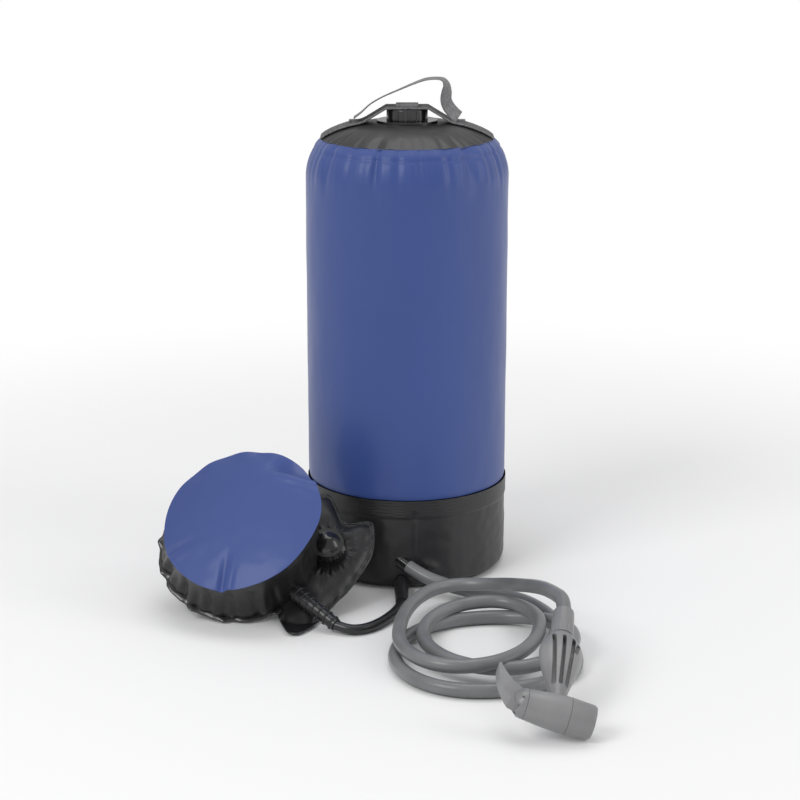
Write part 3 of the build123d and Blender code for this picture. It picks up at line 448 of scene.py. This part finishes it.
def cup_point(row, column):
    """A point of the black base cup: flat bottom, round corner, wall and weld band."""
    angle = column * 2 * math.pi
    turn = turn_from_front(angle)
    x = math.sin(angle)
    y = -math.cos(angle)
    if row < CUP_BOTTOM_SHARE:
        share = row / CUP_BOTTOM_SHARE
        radius = (TANK_R - CUP_CORNER) * share
        z = 0.0
    elif row < CUP_CORNER_SHARE:
        share = (row - CUP_BOTTOM_SHARE) / (CUP_CORNER_SHARE - CUP_BOTTOM_SHARE)
        bend = share * math.pi / 2
        radius = TANK_R - CUP_CORNER + CUP_CORNER * math.sin(bend)
        z = CUP_CORNER - CUP_CORNER * math.cos(bend)
    else:
        share = (row - CUP_CORNER_SHARE) / (1 - CUP_CORNER_SHARE)
        z = CUP_CORNER + (SEAM_Z - CUP_CORNER) * share
        radius = TANK_R
    wall = min(1.0, z / CUP_CORNER)
    band = 1 / (1 + math.exp(-(z - BAND_LOW) / 0.5))
    skin = wall * (1 - band)
    radius += BAND_THICK * band
    radius += 0.35 * band * math.sin(z * 2.1) * drift(100 * x, 100 * y, z, 9, 1.3)
    radius += skin * 0.9 * drift(100 * x, 100 * y, z, 30, 5.5)
    radius += skin * 0.4 * drift(100 * x, 100 * y, z, 11, 2.5)
    radius -= skin * 0.9 * bell(turn, CUP_SEAM_TURN, 0.012)
    radius -= 1.8 * bell(turn, CUP_SEAM_TURN, 0.03) * bell(z, BAND_LOW + 2, 4)
    place, width, height = PLEAT_RIDGE
    radius += skin * height * bell(turn, place, width) * bell(z, 30 - 40 * (turn - PLEAT_TURN), 6)
    place, width, depth = PLEAT_HOLLOW
    radius -= skin * depth * bell(turn, place, width) * bell(z, 26, 8)
    return Vector((x * radius, y * radius, z)) * MM


points, faces = wrapped_grid(CUP_ROWS, CUP_COLUMNS, cup_point)
cup = mesh_piece("base_cup_skin", points, faces, "root", "black_pvc")
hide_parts("base_cup", "weld_band")

# Top panel
DOME_TOP_R = 30.0
DOME_RISE = 15.8
DOME_EDGE_R = 84.8
DOME_ARC = ((DOME_EDGE_R - DOME_TOP_R) ** 2 + DOME_RISE ** 2) / (2 * DOME_RISE)
DOME_Z = RIM_Z + DOME_RISE
NECK_HOLE_R = 16.7
DOME_ROWS = 90
DOME_COLUMNS = 360


def dome_height(radius, above=0.0):
    """Height of the top panel, or of a face that lies above it."""
    if radius < DOME_TOP_R:
        return DOME_Z + above
    return DOME_Z - DOME_ARC + math.sqrt((DOME_ARC + above) ** 2 - (radius - DOME_TOP_R) ** 2)


def dome_point(row, column):
    """A point of the black top panel, puckered where it is sewn to the sleeve."""
    angle = column * 2 * math.pi
    turn = turn_from_front(angle)
    radius = NECK_HOLE_R + (DOME_EDGE_R + 0.6 - NECK_HOLE_R) * row
    z = dome_height(min(radius, DOME_EDGE_R))
    edge = bell(radius, DOME_EDGE_R - 4, 12)
    x = math.sin(angle)
    y = -math.cos(angle)
    for centre, width, depth in SHOULDER_CREASES:
        z -= 0.5 * depth * edge * bell(turn, centre - 0.03, width * 1.3)
    for count, depth, phase in GATHERS:
        z += depth * 0.6 * edge * math.sin(count * angle + phase)
    z += 0.5 * (1 - bell(radius, NECK_HOLE_R, 18)) * drift(radius * x, radius * y, 0, 22, 4.2)
    return Vector((x * radius * MM, y * radius * MM, z * MM))


points, faces = wrapped_grid(DOME_ROWS, DOME_COLUMNS, dome_point)
dome = mesh_piece("top_panel_film", points, faces, "root", "black_pvc")
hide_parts("top_panel")

# Strap over the cap, its piping, and the carry handle
STRAP_WIDTH = 30.0
STRAP_THICK = 1.6
STRAP_FOOT_R = 84.5
STRAP_LIFT_R = 44.0
STRAP_CROWN_R = 20.5
STRAP_TOP_Z = 465.9
STRAP_PIPING = 0.95
STRAP_STEPS = 220
STRAP_BLEND = 1.6
STRAP_CROWN = 0.25
CLEAR = 0.3


def strap_height(x):
    """Height of the strap's upper face over the middle line."""
    reach = abs(x)
    low = dome_height(min(reach, DOME_EDGE_R), CLEAR + STRAP_THICK) - 0.6 * max(0.0, reach - 80) ** 1.2 / 4
    if reach <= STRAP_CROWN_R:
        straight = STRAP_TOP_Z
    else:
        lift_z = dome_height(STRAP_LIFT_R, CLEAR + STRAP_THICK)
        slope = (STRAP_TOP_Z - lift_z) / (STRAP_LIFT_R - STRAP_CROWN_R)
        straight = STRAP_TOP_Z - slope * (reach - STRAP_CROWN_R)
    gap = straight - low
    if gap > STRAP_BLEND:
        return straight
    if gap < -STRAP_BLEND:
        return low
    return (straight + low) / 2 + math.sqrt(gap * gap + STRAP_BLEND * STRAP_BLEND) / 2 - 0.18 * STRAP_BLEND


BAND_STEPS = 10


def band_piece(name, centres, across, normals, width, thick, body, slot_name, crown=0.0):
    """A strip of webbing with rounded edges, along centres, with its width along across."""
    section = []
    for face, order in ((1, range(BAND_STEPS + 1)), (-1, range(BAND_STEPS, -1, -1))):
        for step in order:
            share = step / BAND_STEPS * 2 - 1
            half_thick = thick / 2 * (1 - abs(share) ** 6 * 0.7)
            section.append((share * width / 2, face * half_thick + crown * (1 - share * share)))
    points = []
    count = len(section)
    for centre, side, up in zip(centres, across, normals):
        for offset, lift in section:
            points.append((centre + side * offset + up * lift) * MM)
    faces = []
    for ring in range(len(centres) - 1):
        low = ring * count
        high = low + count
        for index in range(count):
            nxt = (index + 1) % count
            faces.append((low + index, low + nxt, high + nxt, high + index))
    faces.append(tuple(range(count)))
    faces.append(tuple(reversed(range((len(centres) - 1) * count, len(centres) * count))))
    return mesh_piece(name, points, faces, body, slot_name)


def frames_along(centres, across):
    """Normals of a band from its centres and its width directions."""
    normals = []
    for index in range(len(centres)):
        before = centres[max(0, index - 1)]
        after = centres[min(len(centres) - 1, index + 1)]
        direction = (after - before).normalized()
        normals.append(direction.cross(across[index]).normalized())
    return normals


strap_centres = []
for step in range(STRAP_STEPS + 1):
    x = -STRAP_FOOT_R + 2 * STRAP_FOOT_R * step / STRAP_STEPS
    strap_centres.append(Vector((x, 0, strap_height(x) - STRAP_THICK / 2)))
strap_across = [Vector((0, 1, 0))] * len(strap_centres)
strap_normals = frames_along(strap_centres, strap_across)
strap = band_piece("cap_strap", strap_centres, strap_across, strap_normals, STRAP_WIDTH, STRAP_THICK,
                   "root", "black_webbing", crown=STRAP_CROWN)
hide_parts("top_strap")


def tube_piece(name, centres, radius, body, slot_name, sides=10):
    """A round tube along centres."""
    points = []
    for index, centre in enumerate(centres):
        before = centres[max(0, index - 1)]
        after = centres[min(len(centres) - 1, index + 1)]
        direction = (after - before).normalized()
        side = direction.cross(Vector((0, 0, 1)))
        if side.length < 0.01:
            side = Vector((0, 1, 0))
        side.normalize()
        up = side.cross(direction).normalized()
        for corner in range(sides):
            angle = corner / sides * 2 * math.pi
            points.append((centre + (side * math.cos(angle) + up * math.sin(angle)) * radius) * MM)
    faces = []
    for ring in range(len(centres) - 1):
        low = ring * sides
        high = low + sides
        for corner in range(sides):
            nxt = (corner + 1) % sides
            faces.append((low + corner, high + corner, high + nxt, low + nxt))
    faces.append(tuple(reversed(range(sides))))
    faces.append(tuple(range((len(centres) - 1) * sides, len(centres) * sides)))
    return mesh_piece(name, points, faces, body, slot_name)


for edge_name, edge in (("front", -1), ("back", 1)):
    edge_line = [c + Vector((0, edge * STRAP_WIDTH / 2, 0.1)) for c in strap_centres]
    tube_piece("strap_piping_" + edge_name, edge_line, STRAP_PIPING, "root", "grey_webbing")

HANDLE_AXIS_Z = 454.325
HANDLE_WIDTH = 22.0
HANDLE_THICK = 1.5
HANDLE_TWIST = 30.0
# Line of the loop: x, height above its root line
HANDLE_LINE = [(-52, 0.4), (-45, 5.5), (-36, 13.5), (-24, 20.5), (-8, 27.5), (8, 34.2), (18, 37.6),
               (28, 38.6), (35, 37.2), (38.2, 32), (38.4, 25), (38.0, 18), (40, 12), (45, 5.5), (50.5, 0.4)]
LINE_STEPS = 12


def smooth_line(line, steps):
    """Points on a smooth curve through the given ones."""
    result = []
    for index in range(len(line) - 1):
        p0 = line[max(0, index - 1)]
        p1 = line[index]
        p2 = line[index + 1]
        p3 = line[min(len(line) - 1, index + 2)]
        for step in range(steps):
            t = step / steps
            square = (2 * p0 - 5 * p1 + 4 * p2 - p3) * t * t
            cube = (3 * p1 - p0 - 3 * p2 + p3) * t * t * t
            result.append(0.5 * ((2 * p1) + (p2 - p0) * t + square + cube))
    result.append(line[-1])
    return result


loop_centres = smooth_line([Vector((x, 0, HANDLE_AXIS_Z + up)) for x, up in HANDLE_LINE], LINE_STEPS)
loop_across = []
loop_count = len(loop_centres)
for index, centre in enumerate(loop_centres):
    share = index / (loop_count - 1)
    twist = math.radians(HANDLE_TWIST) * smooth_step(min(1.0, max(0.0, (share - 0.5) / 0.25)))
    twist -= math.radians(6) * bell(share, 0.2, 0.15)
    before = loop_centres[max(0, index - 1)]
    after = loop_centres[min(loop_count - 1, index + 1)]
    direction = (after - before).normalized()
    loop_across.append(Matrix.Rotation(twist, 3, direction) @ Vector((0, 1, 0)))
loop_normals = frames_along(loop_centres, loop_across)
handle = band_piece("carry_loop", loop_centres, loop_across, loop_normals, HANDLE_WIDTH, HANDLE_THICK,
                    "carry_handle", "grey_webbing")
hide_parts("carry_handle")

# Foot pump, in its own tilted frame
PUMP_ORIGIN = Vector((-161.0, -129.0, 51.7444))
PUMP_TILT = math.radians(40.0)
PUMP_UP = Vector((0, math.cos(PUMP_TILT), math.sin(PUMP_TILT)))
PUMP_OUT = Vector((0, -math.sin(PUMP_TILT), math.cos(PUMP_TILT)))
FLOOR_CLEAR = 1.2


def pump_place(x, up, out):
    """A point of the pump's frame as a point of the whole object."""
    return PUMP_ORIGIN + Vector((x, 0, 0)) + PUMP_UP * up + PUMP_OUT * out


def floor_lift(up):
    """Lowest distance from the pump's base plane that stays above the floor."""
    return (FLOOR_CLEAR - PUMP_ORIGIN.z - PUMP_UP.z * up) / PUMP_OUT.z


DISC_X = 3.5
DISC_R = 75.5
DISC_OUT = 58.0
DISC_SLOPE = 0.27
DISC_CROWN = 8.0
CREASE_TIP = Vector((24.0, 47.5))
CREASE_END = Vector((74.0, 28.5))
CREASE_DEPTH = 9.0
CREASE_LOBE_WIDTH = 16
DISC_CROWN_POWER = 2.4
COVER_FOLDS = [
    {"turn": -101, "start": 30, "run": 40, "line": -2.0, "bend": 0.08, "depth": 3.6, "width": 4.0,
     "ridge": 1.8, "ridge_line": 5.0, "ridge_width": 4.0},
    {"turn": -158, "start": 36, "run": 38, "line": 0.0, "bend": 0.0, "depth": 2.0, "width": 4.5,
     "ridge": 1.0, "ridge_line": 8.0, "ridge_width": 5.0},
]


def ramp_between(value, start, run):
    """A smooth rise from nought to one over a run from a start."""
    return smooth_step(min(1.0, max(0.0, (value - start) / run)))


def disc_height(x, up):
    """Height of the blue cover above the base, with its folds."""
    reach = math.hypot(x, up)
    share = min(1.0, reach / DISC_R)
    angle = math.atan2(up, x)
    height = DISC_OUT + DISC_SLOPE * x + DISC_CROWN * (1 - share ** DISC_CROWN_POWER)
    along = (CREASE_END - CREASE_TIP).normalized()
    off = Vector((x, up)) - CREASE_TIP
    run = off.dot(along)
    side = off.cross(along) * -1
    grown = ramp_between(run, -6, 34)
    behind = math.exp(-(max(0.0, side - 3) / CREASE_LOBE_WIDTH) ** 2)
    height -= CREASE_DEPTH * grown * ramp_between(side, 0.0, 3.0) * behind
    height += 1.8 * grown * bell(side, -4.0, 5.0)
    for fold in COVER_FOLDS:
        turn = math.radians(fold["turn"])
        across = reach * math.sin(angle - turn)
        inward = max(0.0, reach * math.cos(angle - turn))
        deep = ramp_between(inward, fold["start"], fold["run"])
        line = fold["line"] + fold["bend"] * (inward - 60)
        height -= fold["depth"] * deep * bell(across, line, fold["width"])
        height += fold["ridge"] * deep * bell(across, fold["ridge_line"], fold["ridge_width"])
    top_edge = ramp_between(share, 0.8, 0.2) * bell(angle, math.radians(100), 0.75)
    height += 1.5 * top_edge * math.sin(13 * angle)
    height += 0.9 * drift(x, up, 0, 34, 2.2) + 0.35 * drift(x, up, 0, 13, 8.2)
    return height


def disc_outline(angle):
    """Radius of the cover's edge, a little uneven."""
    return DISC_R + 0.8 * math.sin(3 * angle + 0.6) + 0.5 * math.sin(7 * angle + 2.0)


RIM_DROP = 3.2
RIM_BULGE = 1.1
LIP_WIDTH = 4.0
COVER_TOP_SHARE = 0.86
COVER_ROWS = 110
COVER_COLUMNS = 300


def cover_point(row, column):
    """A point of the blue cover: its crown, its rounded edge and the turned-in lip."""
    angle = column * 2 * math.pi
    outline = disc_outline(angle)
    if row < COVER_TOP_SHARE:
        reach = outline * row / COVER_TOP_SHARE
        x = reach * math.cos(angle)
        up = reach * math.sin(angle)
        return pump_place(DISC_X + x, up, disc_height(x, up)) * MM
    share = (row - COVER_TOP_SHARE) / (1 - COVER_TOP_SHARE)
    bend = share * math.pi
    reach = outline + RIM_BULGE * math.sin(bend) - LIP_WIDTH * smooth_step(share)
    x = reach * math.cos(angle)
    up = reach * math.sin(angle)
    rim = disc_height(outline * math.cos(angle), outline * math.sin(angle))
    return pump_place(DISC_X + x, up, rim - RIM_DROP * 0.5 * (1 - math.cos(bend))) * MM


points, faces = wrapped_grid(COVER_ROWS, COVER_COLUMNS, cover_point)
cover = mesh_piece("pump_cover_fabric", points, faces, "pump_top", "blue_fabric")
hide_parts("pump_cover")

HEM_R = 79.0
WALL_FOLDS = [(19, 0.9, 0.3), (31, 0.6, 2.2), (47, 0.3, 4.0)]
DEEP_FOLDS = [(-1.62, 0.05, 2.6), (-1.36, 0.04, 2.0), (-1.95, 0.05, 2.4), (-2.35, 0.05, 2.8),
              (-2.75, 0.06, 2.4), (-1.05, 0.05, 2.2), (0.7, 0.06, 2.4), (1.4, 0.05, 2.0),
              (2.2, 0.06, 2.4), (2.9, 0.05, 2.0)]
WALL_INSET = 3.0
WALL_ROWS = 70
WALL_COLUMNS = 420


def wall_point(row, column):
    """A point of the pump's black wall, from the hem to under the cover."""
    angle = column * 2 * math.pi
    edge = disc_outline(angle)
    outline = edge - WALL_INSET
    rim = disc_height(edge * math.cos(angle), edge * math.sin(angle)) - RIM_DROP + 0.6
    share = row
    reach = (HEM_R - 2.5) * (1 - share) + outline * share
    reach -= 2.2 * bell(share, 0.55, 0.3)
    reach += 1.3 * bell(share, 0.16, 0.12)
    folds = bell(share, 0.25, 0.4)
    for count, depth, phase in WALL_FOLDS:
        reach += depth * folds * math.sin(count * angle + phase)
    for centre, width, depth in DEEP_FOLDS:
        lean = 0.12 * (share - 0.3)
        reach -= depth * folds * bell(turn_from_front(angle - centre + lean), 0, width)
    reach += 1.0 * drift(70 * math.cos(angle), 70 * math.sin(angle), rim * share, 24, 6.1)
    x = DISC_X * share + reach * math.cos(angle)
    up = reach * math.sin(angle)
    out = rim * share
    return pump_place(x, up, max(out, floor_lift(up))) * MM


points, faces = wrapped_grid(WALL_ROWS, WALL_COLUMNS, wall_point)
wall = mesh_piece("pump_bellows", points, faces, None, "black_pvc")
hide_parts("pump_skirt", "pump_wall")
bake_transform(wall)

HEM_WIDTH = 3.4
HEM_THICK = 0.9
HEM_RUFFLES = [(17, 1.5, 0.4), (29, 0.8, 1.4), (41, 0.4, 3.0)]
HEM_ROWS = 14
HEM_COLUMNS = 460


def hem_point(row, column):
    """A point of the wavy welded hem round the foot of the pump."""
    angle = column * 2 * math.pi
    around = row * 2 * math.pi
    wave = sum(depth * math.sin(count * angle + phase) for count, depth, phase in HEM_RUFFLES)
    reach = HEM_R - 2.2 + HEM_WIDTH * math.cos(around) + 0.7 * wave
    out = 1.4 + HEM_THICK * math.sin(around) - 0.35 * math.cos(around)
    out += 0.45 * wave * (1 + math.cos(around)) / 2
    x = reach * math.cos(angle)
    up = reach * math.sin(angle)
    return pump_place(x, up, max(out, floor_lift(up) + HEM_THICK * math.sin(around))) * MM


points, faces = wrapped_grid(HEM_ROWS, HEM_COLUMNS, hem_point)
hem = mesh_piece("pump_hem", points, faces, "root", "welded_edge")
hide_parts("pump_base")


def base_point(row, column):
    """A point of the pump's flat underside."""
    angle = column * 2 * math.pi
    reach = (HEM_R - 2.0) * row
    up = reach * math.sin(angle)
    return pump_place(reach * math.cos(angle), up, max(0.6, floor_lift(up))) * MM


points, faces = wrapped_grid(12, 160, base_point)
mesh_piece("pump_underside", points, faces, "root", "black_pvc")

# Tab panel: a pocket of welded film beside the pump
TAB_LINE = [(52, 52), (68, 62), (84, 62), (93, 44), (99, 31.5), (108, 28.5), (118, 30.5), (126, 30.0),
            (128.5, 24), (129, 10), (127.5, -4), (122, -18), (114, -32), (103, -48), (91, -62), (80, -76),
            (70, -92), (62, -102), (55, -104.5), (49, -101), (44, -90), (40, -78), (37, -68), (34, -56),
            (38, -30), (46, 10)]
TAB_STEPS = 9
TAB_ROWS = 86
TAB_MIDDLE = Vector((82.0, -6.0))
VALVE_PLACE = Vector((84.0, -4.0))
VALVE_SEAT_OUT = 7.0
VALVE_SEAT_R = 19.5
tab_corners = [Vector((x, up, 0)) for x, up in TAB_LINE + TAB_LINE[:1]]
tab_outline = smooth_line(tab_corners, TAB_STEPS)[:-1]
TAB_RIM = 2.2
TAB_SEAM = 4.2
TAB_PUFF = 5.6
TAB_UNDER = 0.4
TAB_UNDER_SHARE = 0.2
TAB_EDGE_SHARE = 0.26
TAB_ABOVE_FLOOR = 1.4


def tab_height(x, up, inset):
    """Height of the tab's upper face at a distance from its edge."""
    if inset < TAB_SEAM:
        height = TAB_RIM + 0.35 * math.sin(min(1.0, inset / TAB_SEAM) * math.pi)
    else:
        height = TAB_RIM + TAB_PUFF * (1 - math.exp(-(inset - TAB_SEAM) / 7.0))
        height += 1.0 * drift(x, up, 0, 15, 9.9) * (1 - math.exp(-(inset - TAB_SEAM) / 5.0))
    from_valve = (Vector((x, up)) - VALVE_PLACE).length
    seat = bell(max(0.0, from_valve - VALVE_SEAT_R), 0, 5.0)
    height = height * (1 - seat) + (VALVE_SEAT_OUT - 0.15) * seat
    turn = math.atan2(up - VALVE_PLACE.y, x - VALVE_PLACE.x)
    pucker = bell(from_valve, VALVE_SEAT_R + 5.5, 3.0)
    height += pucker * (0.45 * math.sin(22 * turn + 0.5) + 0.35 * math.sin(35 * turn))
    return height


def tab_point(row, column):
    """A point of the tab: the underside, the edge, then the puffed upper face."""
    index = int(round(column * len(tab_outline))) % len(tab_outline)
    edge = Vector((tab_outline[index].x, tab_outline[index].y))
    off = edge - TAB_MIDDLE
    if row < TAB_UNDER_SHARE:
        spot = TAB_MIDDLE + off * (row / TAB_UNDER_SHARE)
        height = TAB_UNDER
    elif row < TAB_EDGE_SHARE:
        share = (row - TAB_UNDER_SHARE) / (TAB_EDGE_SHARE - TAB_UNDER_SHARE)
        spot = edge + off.normalized() * 0.5 * math.sin(share * math.pi)
        height = TAB_UNDER + (TAB_RIM - TAB_UNDER) * share
    else:
        share = 1 - (row - TAB_EDGE_SHARE) / (1 - TAB_EDGE_SHARE)
        share = 1 - (1 - share) ** 1.35
        spot = TAB_MIDDLE + off * share
        height = tab_height(spot.x, spot.y, off.length * (1 - share) * 0.92)
    flutter = 0.5 * math.sin(index * 0.37) + 0.35 * math.sin(index * 0.83 + 1)
    height += flutter * bell(off.length - (spot - TAB_MIDDLE).length, 0, 6)
    lowest = floor_lift(spot.y) + (0 if row < TAB_UNDER_SHARE else TAB_ABOVE_FLOOR)
    return pump_place(spot.x, spot.y, max(height, lowest)) * MM


points, faces = wrapped_grid(TAB_ROWS, len(tab_outline), tab_point)
tab = mesh_piece("pump_tab_film", points, faces, "root", "black_pvc")
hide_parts("pump_tab")


def tab_weld(share_in):
    """A line on the tab's weld, set in from its edge by a share."""
    line = []
    for edge in tab_outline:
        spot = Vector((edge.x, edge.y))
        off = spot - TAB_MIDDLE
        spot = TAB_MIDDLE + off * (1 - share_in)
        height = tab_height(spot.x, spot.y, off.length * share_in)
        line.append(pump_place(spot.x, spot.y, max(height, floor_lift(spot.y) + TAB_ABOVE_FLOOR)))
    return line


WELD_SHOWN = slice(36, 190)
WELD_INSET = 0.012
WELD_R = 0.75
WELD_SIDES = 8
weld_line = tab_weld(WELD_INSET)[WELD_SHOWN]
tube_piece("tab_weld_bead", weld_line, WELD_R, "root", "welded_edge", sides=WELD_SIDES)

# Scene
SHARP_ANGLE = 32
for name, node_object in frame["nodes"].items():
    for face in node_object.data.polygons:
        face.use_smooth = True
    smooth_edges = node_object.modifiers.new("edges", "EDGE_SPLIT")
    smooth_edges.split_angle = math.radians(SHARP_ANGLE)

FLOOR_SIZE = 8.0
FLOOR_BELOW = 0.0005
floor_mesh = bpy.data.meshes.new("floor")
half = FLOOR_SIZE / 2
floor_corners = [(-half, -half, 0), (half, -half, 0), (half, half, 0), (-half, half, 0)]
floor_mesh.from_pydata(floor_corners, [], [(0, 1, 2, 3)])
floor = bpy.data.objects.new("floor", floor_mesh)
bpy.context.collection.objects.link(floor)
floor.location.z = -FLOOR_BELOW
floor_material = material("pale_floor", (0.9, 0.9, 0.9), 0.85, specular=0.1)
FLOOR_NEAR = 0.35
FLOOR_FAR = 1.15
floor_place = node(floor_material, "ShaderNodeTexCoord")
floor_reach = floor_material.node_tree.nodes.new("ShaderNodeVectorMath")
floor_reach.operation = "LENGTH"
join(floor_material, floor_place, "Object", floor_reach, "Vector")
floor_fade = floor_material.node_tree.nodes.new("ShaderNodeMapRange")
floor_fade.interpolation_type = "SMOOTHSTEP"
floor_fade.inputs["From Min"].default_value = FLOOR_NEAR
floor_fade.inputs["From Max"].default_value = FLOOR_FAR
join(floor_material, floor_reach, "Value", floor_fade, "Value")
floor_glow = floor_material.node_tree.nodes.new("ShaderNodeEmission")
floor_mix = floor_material.node_tree.nodes.new("ShaderNodeMixShader")
join(floor_material, floor_fade, "Result", floor_mix, "Fac")
floor_links = floor_material.node_tree.links
floor_nodes = floor_material.node_tree.nodes
floor_links.new(floor_nodes["Principled BSDF"].outputs["BSDF"], floor_mix.inputs[1])
floor_links.new(floor_glow.outputs["Emission"], floor_mix.inputs[2])
floor_links.new(floor_mix.outputs["Shader"], floor_nodes["Material Output"].inputs["Surface"])
floor.data.materials.append(floor_material)

world = bpy.data.worlds.new("world")
bpy.context.scene.world = world
world.use_nodes = True
nodes = world.node_tree.nodes
links = world.node_tree.links
background = nodes["Background"]
rays = nodes.new("ShaderNodeLightPath")
strength = nodes.new("ShaderNodeMapRange")
background.inputs["Color"].default_value = (1, 1, 1, 1)
WORLD_LIGHT = 0.55
links.new(rays.outputs["Is Camera Ray"], strength.inputs["Value"])
strength.inputs["To Min"].default_value = WORLD_LIGHT
strength.inputs["To Max"].default_value = 1.0
links.new(strength.outputs["Result"], background.inputs["Strength"])


def lamp(name, place, target, size, power):
    """A large soft lamp that points at a target."""
    data = bpy.data.lights.new(name, "AREA")
    data.shape = "RECTANGLE"
    data.size = size[0]
    data.size_y = size[1]
    data.energy = power
    made = bpy.data.objects.new(name, data)
    bpy.context.collection.objects.link(made)
    made.location = place
    made.rotation_euler = (Vector(target) - Vector(place)).to_track_quat("-Z", "Y").to_euler()
    return made


lamp("key", (-1.5, -1.6, 1.9), (0, -0.1, 0.2), (1.2, 1.2), 26)
lamp("side", (1.9, -0.7, 1.0), (0, -0.1, 0.2), (0.8, 1.6), 9)
lamp("top", (0.1, 0.4, 2.3), (0, -0.1, 0.1), (1.5, 1.5), 14)
bpy.context.scene.view_settings.view_transform = "Standard"
